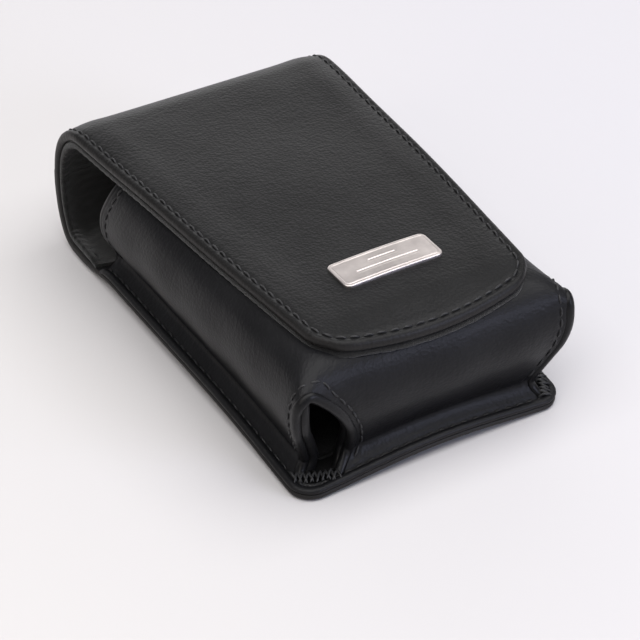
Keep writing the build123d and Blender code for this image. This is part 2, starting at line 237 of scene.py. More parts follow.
def grid_faces(rows, columns, start=0, flip=False):
    """Quads over a grid of vertices stored row by row."""
    faces = []
    for i in range(rows - 1):
        for j in range(columns - 1):
            a = start + i * columns + j
            quad = (a, a + 1, a + columns + 1, a + columns)
            faces.append(quad[::-1] if flip else quad)
    return faces


def closed_sheet(name, outer, inner, uv, wear=None):
    """A closed solid between two grids of points, joined all round its border."""
    rows, columns = outer.shape[:2]
    count = rows * columns
    faces = grid_faces(rows, columns) + grid_faces(rows, columns, count, flip=True)
    index = np.arange(count).reshape(rows, columns)
    border = [*index[0], *index[1:, -1], *index[-1, -2::-1], *index[-2:0:-1, 0]]
    for a, b in zip(border, border[1:] + border[:1]):
        faces.append((b, a, a + count, b + count))
    points = np.vstack([outer.reshape(-1, 3), inner.reshape(-1, 3)])
    both_uv = np.vstack([uv.reshape(-1, 2)] * 2)
    both_wear = None if wear is None else np.concatenate([wear.ravel()] * 2)
    return finish_mesh(name, points, faces, both_uv, both_wear)


def swept_tube(path, normals, across, through, sides=20, squareness=2.0):
    """A closed bar of rounded section: across lies along the surface, through along the normals."""
    path = np.asarray(path, float)
    tangents = unit(np.gradient(path, axis=0))
    normals = unit(normals - np.sum(normals * tangents, axis=1, keepdims=True) * tangents)
    sideways = np.cross(tangents, normals)
    angle = np.linspace(0, 2 * math.pi, sides, endpoint=False)
    c, s = (np.sign(wave) * np.abs(wave) ** (2 / squareness) for wave in (np.cos(angle), np.sin(angle)))
    rings = path[:, None] + across * c[None, :, None] * sideways[:, None]
    rings = rings + through * s[None, :, None] * normals[:, None]
    uv = uv_grid(run_along(path), angle * across)
    return rings.reshape(-1, 3), tube_faces(len(path), sides), uv.reshape(-1, 2)


# ------------------------ seams and stitches
def seam_pucker(points, normals, seams, depth=0.22, reach=0.55):
    """Points pressed in along their normals beside a seam, most at each needle hole."""
    flat = points.reshape(-1, 3).copy()
    flat_normals = normals.reshape(-1, 3)
    for seam in seams:
        run = run_along(seam)
        low, high = seam.min(0) - 4, seam.max(0) + 4
        chosen = np.where(np.all((flat > low) & (flat < high), axis=1))[0]
        for part in np.array_split(chosen, max(1, len(chosen) // 2000)):
            if not len(part):
                continue
            away = np.linalg.norm(flat[part][:, None] - seam[None], axis=2)
            nearest = away.argmin(axis=1)
            away = away[np.arange(len(part)), nearest]
            hole = 0.5 + 0.5 * np.cos(2 * math.pi * run[nearest] / stitch_pitch)
            press = depth * hump(away, reach) * (0.45 + 0.55 * hole)
            press -= 0.35 * depth * hump(away - 1.15, 0.5) * (1 - 0.5 * hole)
            flat[part] -= flat_normals[part] * press[:, None]
    return flat.reshape(points.shape)


def stitch_row(seam, normals, radius=thread_radius, lift=0.02, pitch=stitch_pitch):
    """Every stitch of a seam: short plump threads that dive into the leather at both ends."""
    run = run_along(seam)
    count = int(run[-1] / pitch)
    points, faces, uvs = [], [], []
    steps = np.linspace(0, 1, 8)
    sides = 8
    angle = np.linspace(0, 2 * math.pi, sides, endpoint=False)
    for n in range(count):
        at = n * pitch + stitch_gap / 2 + steps * (pitch - stitch_gap)
        place = sampled(at, run, seam)
        up = unit(sampled(at, run, normals))
        arch = np.sin(math.pi * steps)
        height = lift + radius * (1.35 * np.sqrt(arch) - 1.15)
        wobble = 0.05 * math.sin(n * 2.3)
        place = place + up * height[:, None]
        width = radius * (0.5 + 0.5 * np.sqrt(arch))
        tangent = unit(np.gradient(place, axis=0))
        sideways = unit(np.cross(tangent, up))
        place = place + sideways * (wobble + 0.07 * (steps[:, None] - 0.5))
        raised = np.cross(sideways, tangent)
        start = len(points) * sides * len(steps)
        ring = place[:, None] + width[:, None, None] * (
            np.cos(angle)[None, :, None] * sideways[:, None] + np.sin(angle)[None, :, None] * raised[:, None]
        )
        points.append(ring.reshape(-1, 3))
        uvs.append(uv_grid(at, angle * radius).reshape(-1, 2))
        faces += tube_faces(len(steps), sides, start)
    return np.vstack(points), faces, np.vstack(uvs)


def joined(pieces):
    """Several (points, faces, uv) sets as one."""
    points, faces, uvs, start = [], [], [], 0
    for p, f, u in pieces:
        points.append(p)
        uvs.append(u)
        faces += [tuple(i + start for i in face) for face in f]
        start += len(p)
    return np.vstack(points), faces, np.vstack(uvs)


# ------------------------ materials
def node_material(name, **sockets):
    """A Principled material whose uniform values sit on the shader's own sockets."""
    material = bpy.data.materials.new(name)
    material.use_nodes = True
    shader = material.node_tree.nodes["Principled BSDF"]
    for socket, value in sockets.items():
        shader.inputs[socket.replace("_", " ")].default_value = value
    return material, material.node_tree, shader


def texture(tree, kind, scale, vector, output="Fac", **settings):
    """The output of a texture fed by vector, with its scale and any other settings."""
    node = tree.nodes.new("ShaderNodeTex" + kind)
    tree.links.new(vector, node.inputs["Vector"])
    node.inputs["Scale"].default_value = scale
    for key, value in settings.items():
        if key in node.inputs:
            node.inputs[key].default_value = value
        else:
            setattr(node, key, value)
    return node.outputs[output]


def stretched_uv(tree, along, across):
    """The leather's own coordinates, scaled apart in its two directions."""
    source = tree.nodes.new("ShaderNodeUVMap")
    source.uv_map = "Leather"
    mapping = tree.nodes.new("ShaderNodeMapping")
    mapping.inputs["Scale"].default_value = (along, across, 1)
    tree.links.new(source.outputs["UV"], mapping.inputs["Vector"])
    return mapping.outputs["Vector"]


def chain_bumps(tree, shader, layers):
    """Bump layers, each (height socket, strength, depth in mm), one on top of the other."""
    normal = None
    for height, strength, depth in layers:
        bump = tree.nodes.new("ShaderNodeBump")
        bump.inputs["Strength"].default_value = strength
        bump.inputs["Distance"].default_value = depth * MM
        tree.links.new(height, bump.inputs["Height"])
        if normal is not None:
            tree.links.new(normal, bump.inputs["Normal"])
        normal = bump.outputs["Normal"]
    tree.links.new(normal, shader.inputs["Normal"])


def ramp(tree, factor, stops):
    """A colour ramp with the given (position, colour) stops."""
    node = tree.nodes.new("ShaderNodeValToRGB")
    tree.links.new(factor, node.inputs["Fac"])
    elements = node.color_ramp.elements
    while len(elements) < len(stops):
        elements.new(0.5)
    for element, (position, colour) in zip(elements, stops):
        element.position = position
        element.color = (*colour, 1)
    return node.outputs["Color"]


def mapped(tree, value, old, new=(0.0, 1.0)):
    """A value mapped from one range to another."""
    node = tree.nodes.new("ShaderNodeMapRange")
    tree.links.new(value, node.inputs["Value"])
    for socket, number in zip(("From Min", "From Max", "To Min", "To Max"), (*old, *new)):
        node.inputs[socket].default_value = number
    return node.outputs["Result"]


def product(tree, first, second):
    """Two values multiplied."""
    node = tree.nodes.new("ShaderNodeMath")
    node.operation = "MULTIPLY"
    tree.links.new(first, node.inputs[0])
    tree.links.new(second, node.inputs[1])
    return node.outputs["Value"]


def leather(name, dark, light, rough_low, rough_high, grain=0.05, crinkle=0.0, worn=(0.045, 0.040, 0.036)):
    """Smooth black leather: fine pebbled grain, pores, soft mottling, and paler wear along its edges."""
    material, tree, shader = node_material(name, Specular_IOR_Level=0.17)
    uv = stretched_uv(tree, 1, 1)
    pebbles = texture(tree, "Voronoi", 135, uv, "Distance", Randomness=0.95)
    pores = texture(tree, "Noise", 420, uv, Detail=3.0, Roughness=0.6)
    mottle = texture(tree, "Noise", 9, uv, Detail=5.0, Roughness=0.62)
    folds = texture(tree, "Noise", 60, stretched_uv(tree, 0.28, 1.6), Detail=4.0, Distortion=0.6)
    colour = ramp(tree, mottle, ((0.32, dark), (0.72, light)))
    wear = tree.nodes.new("ShaderNodeAttribute")
    wear.attribute_name = "wear"
    mix = tree.nodes.new("ShaderNodeMix")
    mix.data_type = "RGBA"
    tree.links.new(product(tree, wear.outputs["Fac"], pores), mix.inputs["Factor"])
    tree.links.new(colour, mix.inputs["A"])
    mix.inputs["B"].default_value = (*worn, 1)
    tree.links.new(mix.outputs["Result"], shader.inputs["Base Color"])
    rough = mapped(tree, pores, (0.3, 0.7), (rough_low, rough_high))
    tree.links.new(rough, shader.inputs["Roughness"])
    layers = [(mottle, 0.5, 0.25), (pebbles, 0.8, grain)]
    layers.append((pores, 0.5, grain * 0.6))
    if crinkle:
        layers.insert(0, (folds, 0.9, crinkle))
    chain_bumps(tree, shader, layers)
    return material


def suede(name, dark, light):
    """Napped suede: no gloss, a fine nap and brushed patches."""
    material, tree, shader = node_material(
        name, Roughness=0.95, Specular_IOR_Level=0.15, Sheen_Weight=0.25, Sheen_Roughness=0.5
    )
    uv = stretched_uv(tree, 1, 1)
    nap = texture(tree, "Noise", 260, uv, Detail=4.0, Roughness=0.75)
    patches = texture(tree, "Noise", 14, uv, Detail=3.0, Distortion=1.2)
    fibres = product(tree, nap, patches)
    tree.links.new(ramp(tree, fibres, ((0.15, dark), (0.38, light))), shader.inputs["Base Color"])
    chain_bumps(tree, shader, [(nap, 1.0, 0.3)])
    return material


def thread_material():
    """Twisted polyester thread, black with a slight gloss."""
    material, tree, shader = node_material("black_thread", Roughness=0.55, Specular_IOR_Level=0.45)
    uv = stretched_uv(tree, 1, 1.4)
    twist = texture(tree, "Wave", 30, uv, Distortion=0.4, bands_direction="DIAGONAL")
    colours = ramp(tree, twist, ((0.2, (0.005, 0.005, 0.0055)), (0.9, (0.018, 0.018, 0.019))))
    tree.links.new(colours, shader.inputs["Base Color"])
    chain_bumps(tree, shader, [(twist, 0.8, 0.08)])
    return material


def brushed_metal(name, dark, light, rough_low, rough_high):
    """Satin metal with fine brush lines along its long side."""
    material, tree, shader = node_material(name, Metallic=1.0, Anisotropic=0.35)
    lines = texture(tree, "Noise", 30, stretched_uv(tree, 1.2, 60), Detail=5.0, Roughness=0.7)
    blotches = texture(tree, "Noise", 26, stretched_uv(tree, 1, 1), Detail=2.0)
    tree.links.new(ramp(tree, blotches, ((0.3, dark), (0.7, light))), shader.inputs["Base Color"])
    rough = mapped(tree, lines, (0.0, 1.0), (rough_low, rough_high))
    tree.links.new(rough, shader.inputs["Roughness"])
    chain_bumps(tree, shader, [(lines, 0.35, 0.03)])
    return material


flap_leather_look = leather(
    "flap_leather", (0.0055, 0.0055, 0.0056), (0.0095, 0.0095, 0.0097), 0.36, 0.46, grain=0.09
)
wall_leather_look = leather(
    "wall_leather", (0.0055, 0.0055, 0.0062), (0.0095, 0.0095, 0.0105), 0.36, 0.48, grain=0.07, crinkle=0.08
)
rim_leather_look = leather(
    "rim_leather", (0.005, 0.005, 0.0055), (0.009, 0.009, 0.0095), 0.28, 0.40, grain=0.04
)
back_leather_look = leather(
    "back_leather", (0.006, 0.006, 0.0063), (0.010, 0.010, 0.0105), 0.42, 0.55, grain=0.06
)
suede_look = suede("black_suede", (0.0035, 0.0035, 0.0033), (0.014, 0.014, 0.0135))
thread_look = thread_material()
plate_look = brushed_metal("label_metal", (0.52, 0.475, 0.455), (0.64, 0.59, 0.565), 0.34, 0.46)


def add_piece(piece, look, slot, where, *nodes):
    """Gives a piece its material and puts it on a body, or for a fold bakes it into place, in place of CAD
    nodes; slot is not used.
    """
    piece.data.materials.clear()
    piece.data.materials.append(look)
    if isinstance(where, str):
        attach(piece, where)
    else:
        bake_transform(piece)
    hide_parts(*nodes)


# ------------------------ the long sheet: flap, spine and back
# The sheet's outer face seen from the side, as (y, z) from the flap's tip over the spine to the flange.
sheet_path = smooth_curve(
    [
        (flap_tip_y, flap_top - 0.6), (-40, flap_top - 0.25), (-10, flap_top), (25, flap_top + 0.1),
        (43, flap_top + 0.15), (50.5, flap_top - 0.5), (55.9, flap_top - 3.6), (59.6, 31.8),
        (61.8, 25.5), (62.5, 18.5), (62.0, 13.0), (60.6, 8.8), (58.0, 5.0), (54.5, 3.3),
        (back_fold_y, panel_z), (43, panel_z), (0, panel_z), (flange_end, panel_z),
    ],
    0.25,
)
sheet_run = run_along(sheet_path)
sheet_length = sheet_run[-1]
sheet_tangent = averaged(unit(np.gradient(sheet_path, axis=0)), 12)
off_middle = np.abs(sheet_path[:, 1] - mid_spine_z) + 100 * (sheet_path[:, 0] < back_fold_y)
mid_spine_run = sheet_run[np.argmin(off_middle)]


def sheet_place(run, x, height):
    """The point at a run along the sheet's outer face, x across it, and height outwards from it."""
    return beside_path(sheet_path, sheet_tangent, sheet_run, run, x, height)


def flat_grid(
    width_at, length, corner, bow=0.0, row_step=0.85, inner_columns=34, both_ends=False, steps=EDGE_STEPS
):
    """A sheet laid flat: grids of x across it, run from its near end, and distance in from its edge."""
    steps = np.array(steps)
    last = steps[-1]
    middle = np.arange(last + row_step, length - (last if both_ends else 0), row_step)
    far = length - steps[::-1] if both_ends else np.array([length])
    v = np.concatenate([steps, middle, far])[:, None]
    width = width_at(v)
    inner = np.linspace(-1, 1, inner_columns + 1)[1:-1]
    x = np.concatenate([-(width - steps), inner * (width - last), (width - steps[::-1])], axis=1)
    v = v + 0 * x
    width = width + 0 * x
    end_distance = np.minimum(v, length - v) if both_ends else v
    in_x = width - np.abs(x)
    edge = np.minimum(in_x, end_distance)
    u, w = corner - in_x, corner - end_distance
    turned = (u > 0) & (w > 0)
    biggest = np.maximum(np.maximum(u, w), 1e-9)
    angle = np.where(u >= w, math.pi / 4 * w / biggest, math.pi / 2 - math.pi / 4 * u / biggest)
    x = np.where(turned, np.sign(x) * (width - corner + biggest * np.cos(angle)), x)
    end_new = np.where(turned, corner - biggest * np.sin(angle), end_distance)
    v = np.where(v > length / 2, length - end_new, end_new) if both_ends else end_new
    v = v + bow * (x / width) ** 2 * (1 - smoothstep(v / 40))
    return x, v, edge


def rolled(edge, radius):
    """How far a rounded edge has dropped below the face, at this distance in from it."""
    short = np.clip(radius - edge, 0, radius)
    return radius - np.sqrt(np.maximum(radius**2 - short**2, 0))


def flap_width(run):
    """Half the flap's width: tapering from the spine to the tip, with slightly bowed sides."""
    share = np.clip(run / flap_taper_run, 0, 1)
    taper = flap_tip_half_width + (half_width - flap_tip_half_width) * share
    return taper + flap_side_bow * np.sin(math.pi * share)


def back_width(run):
    """Half the back's width."""
    return half_width + 0 * run


def flap_waves(x, run):
    """Slight unevenness of the flap, its edges pressed down by the seam, and the droop of its tip."""
    side_x = x / flap_tip_half_width
    droop = flap_tip_droop * np.clip((12 - run) / 12, 0, 1) ** 1.6 * (1 - 0.75 * side_x**2)
    ripple = 0.16 * np.sin(x * 0.11 + 0.8) * np.sin(run * 0.045) + 0.10 * np.sin(run * 0.12 + x * 0.05)
    ripple *= smoothstep(run / 30) * (1 - smoothstep((run - 95) / 15))
    from_side = np.maximum(flap_width(run) - np.abs(x), 0)
    pressed = 0.75 * hump(from_side, 4.5) * smoothstep((run - 60) / 40)
    plump = 0.25 * hump(from_side - 6.5, 4.0) * smoothstep(run / 25)
    before_spine = 1 - smoothstep((run - 112) / 16)
    return ripple - droop + (plump - pressed) * before_spine


def grid_normals(points):
    """Normals of a grid of points, by its own differences."""
    return unit(np.cross(np.gradient(points, axis=1), np.gradient(points, axis=0)))


def upper_sheet(height, inset=0.0):
    """Grids over the flap and the upper half of the spine, at a height from the outer face."""
    width_at = lambda v: flap_width(v) - inset
    x, run, edge = flat_grid(width_at, mid_spine_run - inset, flap_corner - inset, flap_tip_bow)
    run = run + inset
    return x, run, edge, lambda h: sheet_place(run, x, height + flap_waves(x, run) + h)


def seam_on(place, points):
    """A seam through flat points, as places in space with their outward normals."""
    flat = resample(points, 0.4)
    return place(flat[:, 0], flat[:, 1], 0.0), outward(place, flat[:, 0], flat[:, 1])


def outline_at(inset, width_at, length, corner, bow):
    """The open outline of a sheet, drawn in by inset: up one side, round the near end and back."""
    narrowed = lambda v: width_at(v) - inset
    x, run, _ = flat_grid(narrowed, length - inset, corner - inset, bow, steps=(0, 0.5, 1, 2, 4, 7))
    flat = np.stack([x, run + inset], axis=2)
    return np.vstack([flat[::-1, 0], flat[0, 1:], flat[1:, -1]])


def upper_place(x, run, h):
    """A point on the flap's or the upper spine's outer face."""
    return sheet_place(run, x, flap_waves(x, run) + h)


def lower_place(x, run, h):
    """A point on the back's or the lower spine's outer face; run starts at the flange's bottom edge."""
    return sheet_place(sheet_length - run, x, h)


flap_seam_points, flap_seam_normals = seam_on(
    upper_place, outline_at(flap_seam, flap_width, mid_spine_run, flap_corner, flap_tip_bow)
)
lower_length = sheet_length - mid_spine_run
spine_start_run = back_fold_y - flange_end
back_outline = outline_at(flange_seam, back_width, lower_length, flange_corner, 0.0)
back_seam_points, back_seam_normals = seam_on(lower_place, back_outline)
inner_seam_start = 104.0


def inner_outline(side):
    """The straight seam inside the spine, which the back's edge stitches come through to."""
    x = side * (half_width - flange_seam)
    return np.array([(x, inner_seam_start), (x, lower_length)])


def leather_thickness(from_spine):
    """How thick the long sheet is, by the distance past the start of the spine towards the back panel."""
    return flap_thickness - (flap_thickness - sheet_thickness) * smoothstep(from_spine / 12)


def make_upper_sheet():
    """The flap's leather with its rolled, stitched edge, running on to the middle of the spine."""
    x, run, edge, at = upper_sheet(0.0)
    pillow = 0.12 * hump(edge - 1.05, 0.45)
    outer = at(pillow - rolled(edge, edge_roll))
    normals = unit(at(1.0) - at(0.0))
    outer = seam_pucker(outer, normals, [flap_seam_points])
    inner = at(-flap_thickness + rolled(edge, edge_roll))
    uv = np.stack([run, x], axis=2)
    wear = edge_wear(edge, 0.35)
    return closed_sheet("flap_leather_sheet", outer, inner, uv, wear)


def lining_grids(at, edge, along, x, hem):
    """The two faces of a suede layer: thin inside, with a plump, uneven hem at its edges."""
    thick = lining_thickness + hem * hump(edge, 2.2)
    thick = thick + 0.09 * hem * (np.sin(along * 2.3 + np.sin(x * 1.1)) + np.sin(along * 5.1 + x))
    roll = rolled(edge, 0.42 * (lining_thickness + lining_hem))
    return at(-roll), at(-thick + roll)


def make_upper_lining():
    """The flap's and upper spine's suede lining, whose edge shows as a second layer under the leather."""
    x, run, edge, at = upper_sheet(-flap_thickness - layer_gap, lining_inset)
    outer, inner = lining_grids(at, edge, run, x, lining_hem)
    return closed_sheet("flap_suede_lining", outer, inner, np.stack([run, x], axis=2))


def make_lower_sheet():
    """The lower half of the spine and the back panel, out to the flange's edge."""
    x, run, edge = flat_grid(back_width, lower_length, flange_corner)
    thick = leather_thickness(spine_start_run - run)
    outer = lower_place(x, run, -rolled(edge, sheet_thickness / 2))
    normals = outward(lower_place, x, run)
    outer = seam_pucker(outer, normals, [back_seam_points])
    inner = lower_place(x, run, -thick + rolled(edge, sheet_thickness / 2))
    uv = np.stack([run, x], axis=2)
    wear = edge_wear(edge, 0.6)
    return closed_sheet("back_leather_sheet", settle(outer), settle(inner), uv, wear)


def make_lower_lining():
    """The suede that lines the back of the pocket and the lower half of the spine."""
    start = lower_lining_start
    narrow = half_width - pocket_lining_half
    mouth_run = mouth_foot_y - flange_end
    width_at = lambda v: half_width - lining_inset - narrow * (1 - smoothstep((v - mouth_run + start) / 2.5))
    x, run, edge = flat_grid(width_at, lower_length - start, 1.5)
    run = run + start
    hem = lining_hem * smoothstep((run - mouth_run - 2.5) / 4)
    under = leather_thickness(spine_start_run - run) + layer_gap
    place = lambda height: lower_place(x, run, height - under)
    outer, inner = lining_grids(place, edge, run, x, hem)
    return closed_sheet("back_suede_lining", settle(outer), settle(inner), np.stack([run, x], axis=2))


# A fold is its two bodies, and where a sheet starts and ends its turn from the first to the second.
fold_low = ("pouch", "spine", (0, back_fold_y * MM, panel_z * MM), (0, 60.5 * MM, 11 * MM))
fold_high = ("spine", "flap", (0, 61.6 * MM, 25 * MM), (0, 41.0 * MM, 40.7 * MM))

add_piece(make_upper_sheet(), flap_leather_look, "smooth_leather", fold_high, "flap_leather")
add_piece(
    make_upper_lining(), suede_look, "suede", fold_high,
    "flap_lining", "flap_board", "flap_magnet", "label_retainers",
)
add_piece(make_lower_sheet(), back_leather_look, "smooth_leather", fold_low, "back_panel", "spine_leather")
add_piece(
    make_lower_lining(), suede_look, "suede", fold_low, "back_lining", "back_board", "spine_lining"
)


def sew(name, seams, where, node, settled=True, **look):
    """One piece with the stitches of several seams, each (points, normals), in place of a CAD thread."""
    points, faces, uv = joined([stitch_row(seam, normals, **look) for seam, normals in seams])
    if settled:
        points = settle(points)
    add_piece(finish_mesh(name, points, faces, uv), thread_look, "thread", where, node)


flap_rows = [(flap_seam_points, flap_seam_normals)]
sew("flap_stitches", flap_rows, fold_high, "flap_edge_thread", settled=False)

back_rows = [(back_seam_points, back_seam_normals)]
for side in (-1, 1):
    strip = resample(inner_outline(side), 0.4)
    depth = flap_thickness + layer_gap + lining_thickness
    at_inside = lower_place(strip[:, 0], strip[:, 1], -depth)
    inward = unit(lower_place(strip[:, 0], strip[:, 1], -depth - 1) - at_inside)
    back_rows.append((at_inside, inward))
sew("back_stitches", back_rows, fold_low, "spine_edge_thread")

# ------------------------ pouch: front face, walls and foot in one leather
# The wall's outer face as (distance out from the flange's edge, z), the same on three sides.
front_level = 36.4
wall_upper = smooth_curve(
    [
        (-14.0, front_level), (-10.0, front_level), (-7.0, 36.1), (-4.4, 34.9), (-2.0, 32.6),
        (-0.5, 29.4), (0.25, 25.5), (0.1, 21.8), (-0.8, 18.0), (-2.3, 14.6), (-3.9, 11.4), (-5.2, 8.7),
    ],
    0.85,
)
wall_foot = smooth_curve([(-5.2, 8.7), (-4.9, 7.7), (-3.9, 6.5), (-2.7, 5.5), (-2.35, 5.3)], 0.45)
wall_rim = smooth_curve(
    [(-2.35, 5.3), (-1.8, 5.75), (-1.0, 6.05), (-0.35, 5.85), (0.0, 5.3), (-0.15, 4.75)], 0.3
)
front_inner = np.stack([np.linspace(-half_width, -15.5, 10), np.full(10, front_level)], axis=1)
wall_profile = np.vstack([front_inner, wall_upper, wall_foot[1:], wall_rim[1:]])
corner_radius = np.interp(
    np.arange(len(wall_profile)),
    [0, 9, 9 + len(wall_upper) * 0.45, 9 + len(wall_upper), len(wall_profile) - 1],
    [0.0, 5.0, 2.4, 2.4, flange_corner],
)


mouth_curve = smooth_curve(
    [(4.6, mouth_foot_y), (8.5, 38.3), (12, 37.7), (17, 37.2), (21, 36.9), (26, 35.8), (31, 33.3),
     (37, 30.6)],
    0.3,
)


def mouth_y(z):
    """Where the side walls end at the mouth: a bowed edge that falls back towards the front face."""
    return np.interp(z, mouth_curve[:, 0], mouth_curve[:, 1])


def spaced(total, near, far, near_step, step):
    """Shares of a length, closer together for near at its start and far at its end."""
    first = np.arange(0, near, near_step)
    last = total - np.arange(0, far, near_step)[::-1]
    middle = np.linspace(near, total - far, max(2, int((total - near - far) / step)), endpoint=False)
    return np.concatenate([first, middle, last]) / total


wall_length, bottom_length = 92.0, 72.0
side_shares = spaced(wall_length, 5.0, 17.0, 0.55, 1.15)
bottom_shares = spaced(bottom_length, 17.0, 17.0, 0.55, 1.15)
arc_turns = np.linspace(0, math.pi / 2, 9)[1:-1]


def shell_ring(out, z, radius):
    """One level of the pouch: up the left wall from the mouth, round both corners and back up the right."""
    x_wall, y_wall = half_width + out, flange_end - out
    y_mouth = mouth_y(z)
    left_y = y_mouth + (y_wall + radius - y_mouth) * side_shares
    left = np.stack([np.full_like(left_y, -x_wall), left_y], axis=1)
    arc = np.stack(
        [-x_wall + radius - radius * np.cos(arc_turns), y_wall + radius - radius * np.sin(arc_turns)], axis=1
    )
    bottom_x = -(x_wall - radius) + 2 * (x_wall - radius) * bottom_shares
    bottom = np.stack([bottom_x, np.full_like(bottom_x, y_wall)], axis=1)
    right_arc = arc[::-1] * (-1, 1)
    right = left[::-1] * (-1, 1)
    ring = np.vstack([left, arc, bottom, right_arc, right])
    return np.concatenate([ring, np.full((len(ring), 1), z)], axis=1)


def shell_shape():
    """The pouch's outer face as a grid: rows run down the wall, columns run round the pouch."""
    points = np.array([shell_ring(o, z, r) for (o, z), r in zip(wall_profile, corner_radius)])
    x, y, z = (points[..., k].copy() for k in range(3))
    belly = np.clip(np.sin(math.pi * np.clip((z - 9) / 27, 0, 1)), 0, 1)
    toward_mouth = smoothstep((y - 5) / 32)
    points[..., 2] -= 2.8 * toward_mouth * belly
    wall = smoothstep((half_width - 8 - np.abs(x)) / -6)
    end_wall = smoothstep((y - flange_end - 8) / -6)
    points[..., 0] += np.sign(x) * wall * belly * (0.35 * np.sin(y * 0.085 + 1.0) + 0.15 * np.sin(y * 0.31))
    points[..., 1] -= end_wall * belly * (0.30 * np.sin(x * 0.10 + 0.6) + 0.12 * np.sin(x * 0.33))
    shoulder = hump(z - 31, 5.0)
    for side in (-1, 1):
        away = np.hypot(x - side * half_width, y - flange_end)
        flare = 1.2 * hump(away, 7.0) * shoulder
        points[..., 0] += side * flare * 0.8
        points[..., 1] -= flare * 0.8
    foot_start = len(front_inner) + len(wall_upper)
    points[foot_start:, :, 2] -= 0.7 * smoothstep((y[foot_start:] - mouth_foot_y + 2) / 2)
    front = smoothstep((np.minimum(half_width - np.abs(x), y - flange_end) - 10) / 12)
    points[..., 2] += np.where(z > 36, -0.12 * front, 0)
    return points


shell_outer = shell_shape()
shell_normals = -grid_normals(shell_outer)
shell_normals[0] = (0.0, 0.0, 1.0)
shell_rows, shell_columns = shell_outer.shape[:2]
shell_across = run_along(shell_outer[len(front_inner) + 8])
shell_down = run_along(wall_profile)
shell_uv = uv_grid(shell_down, shell_across)

# The corner openings' rims as (s, z). s runs along the walls from the corner's middle and is positive
# along the bottom wall.
left_keyhole = smooth_curve(
    [(-3.2, 5.6), (-2.5, 10), (-2.3, 16), (-2.25, 23), (-1.8, 27), (-0.2, 29.9), (1.6, 31.0), (4.3, 29.9),
     (7.0, 27.6), (9.4, 24.8), (11.6, 20.6), (12.3, 15.4), (11.3, 11.0), (9.9, 8.3), (8.0, 5.6)],
    0.4,
)
right_keyhole = smooth_curve(
    [(-4.0, 5.6), (-5.2, 8.4), (-7.0, 11), (-9.0, 15.5), (-9.4, 20), (-8.8, 23.8), (-7, 27.3), (-4.3, 30.1),
     (-1.5, 31.3), (0.5, 30.7), (1.7, 28.3), (1.6, 24), (1.5, 19), (1.1, 14), (1.2, 9), (1.5, 5.6)],
    0.4,
)
keyholes = {-1: left_keyhole, 1: right_keyhole}
rim_across, rim_through = 1.25, 1.1
rim_stitch_offset = 2.5


def corner_runs(side):
    """Every shell vertex's distance along its row from the middle of one corner, growing with the column."""
    steps = np.linalg.norm(np.diff(shell_outer, axis=1), axis=2)
    run = np.concatenate([np.zeros((shell_rows, 1)), np.cumsum(steps, axis=1)], axis=1)
    middle = len(side_shares) + len(arc_turns) // 2
    if side > 0:
        middle += len(arc_turns) + len(bottom_shares)
    return run - run[:, middle : middle + 1]


runs = {side: corner_runs(side) for side in (-1, 1)}
foot_row = len(front_inner) + len(wall_upper) + len(wall_foot) - 2


def on_shell(outline, side):
    """Points of the pouch's outer face, and their normals, at the (s, z) of an outline near one corner."""
    rows = np.arange(len(front_inner), foot_row + 1)
    at_row = np.interp(-outline[:, 1], -wall_profile[rows, 1], rows)
    places, normals = [], []
    for (s, _), row in zip(outline, at_row):
        upper_row = min(int(row), foot_row - 1)
        share = row - upper_row
        found = []
        for grid in (shell_outer, shell_normals):
            pair = [sampled(-side * s, runs[side][r], grid[r]) for r in (upper_row, upper_row + 1)]
            found.append(pair[0] * (1 - share) + pair[1] * share)
        places.append(found[0])
        normals.append(found[1])
    return averaged(places, 3), unit(averaged(normals, 12))


def grown(outline, by):
    """An outline moved away from its opening by a distance along the wall."""
    tangent = unit(np.gradient(outline, axis=0))
    away = np.stack([-tangent[:, 1], tangent[:, 0]], axis=1)
    if outline[0, 0] > outline[-1, 0]:
        away = -away
    return averaged(outline + away * by, 3)


def inside_outline(q, z, outline):
    """Which (q, z) lie inside a closed outline."""
    result = np.zeros(q.shape, bool)
    for (q1, z1), (q2, z2) in zip(outline, np.roll(outline, -1, axis=0)):
        crosses = (z1 > z) != (z2 > z)
        slope = (q2 - q1) / (z2 - z1 if abs(z2 - z1) > 1e-9 else 1e-9)
        result ^= crosses & (q < q1 + (z - z1) * slope)
    return result


def in_keyhole():
    """Which vertices of the pouch are cut away by the corner openings, above the flange's foot."""
    levels = np.broadcast_to(wall_profile[:, 1:2], (shell_rows, shell_columns))
    on_wall = (np.arange(shell_rows)[:, None] < foot_row) & (levels < 34)
    away = np.zeros((shell_rows, shell_columns), bool)
    for side, outline in keyholes.items():
        s = -side * runs[side]
        away |= inside_outline(s, levels, outline) & on_wall & (np.abs(s) < 25)
    return away


cut_vertices = in_keyhole()


